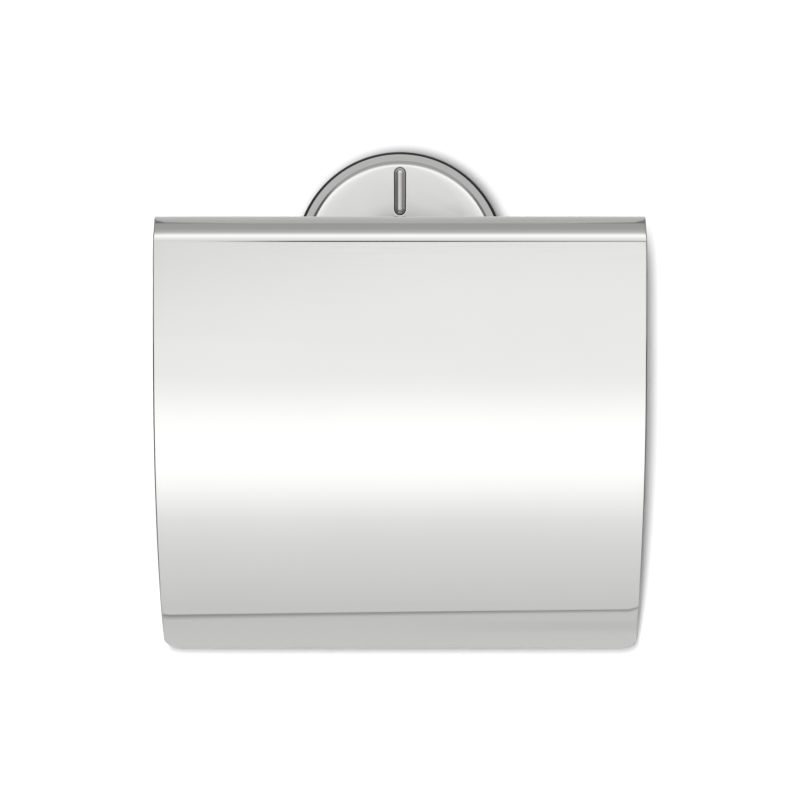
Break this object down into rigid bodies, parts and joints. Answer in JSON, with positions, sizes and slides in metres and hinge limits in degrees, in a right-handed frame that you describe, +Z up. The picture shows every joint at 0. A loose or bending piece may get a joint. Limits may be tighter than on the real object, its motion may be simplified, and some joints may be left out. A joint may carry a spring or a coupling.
{
  "type": "toilet paper holder",
  "caption": "Wall-mounted toilet paper holder in polished steel: round rosette, bent wire for the roll and a hinged hood-shaped flap.",
  "frame": {"origin": "centre of the rosette, in the plane of the wall", "axes": "+Z up, +Y into the wall, +X to the right of a person who faces the holder"},
  "size_m": [0.133, 0.063, 0.1412],
  "materials": {
    "polished_steel": "mirror-polished stainless steel sheet",
    "satin_steel": "satin stainless steel",
    "cast_zinc": "bare die casting",
    "black_rubber": "matt moulded ring",
    "black_screw": "black oxide",
    "grey_plastic": "fine texture",
    "white_nylon": "natural nylon",
    "clear_silicone": "translucent silicone"
  },
  "bodies": {
    "wall_unit": {"wall_gasket": "black_rubber", "wall_bracket": "cast_zinc", "rosette_body": "cast_zinc", "body_set_screw": "black_screw", "cap_retaining_ring": "satin_steel", "rosette_cap": "polished_steel", "support_arm": "satin_steel", "roll_wire": "satin_steel", "roll_wire_end_cap": "grey_plastic", "hinge_end_cap": "grey_plastic", "spacer_left": "white_nylon", "spacer_right": "white_nylon"},
    "flap_unit": {"flap": "polished_steel", "sleeve_left": "white_nylon", "sleeve_right": "white_nylon", "bumper_left": "clear_silicone", "bumper_right": "clear_silicone"}
  },
  "joints": [
    {"name": "flap_hinge", "type": "hinge", "parent": "wall_unit", "child": "flap_unit", "pos_m": [0, -0.022, 0.0046], "axis": [-1, 0, 0], "range_deg": [0, 105]}
  ]
}
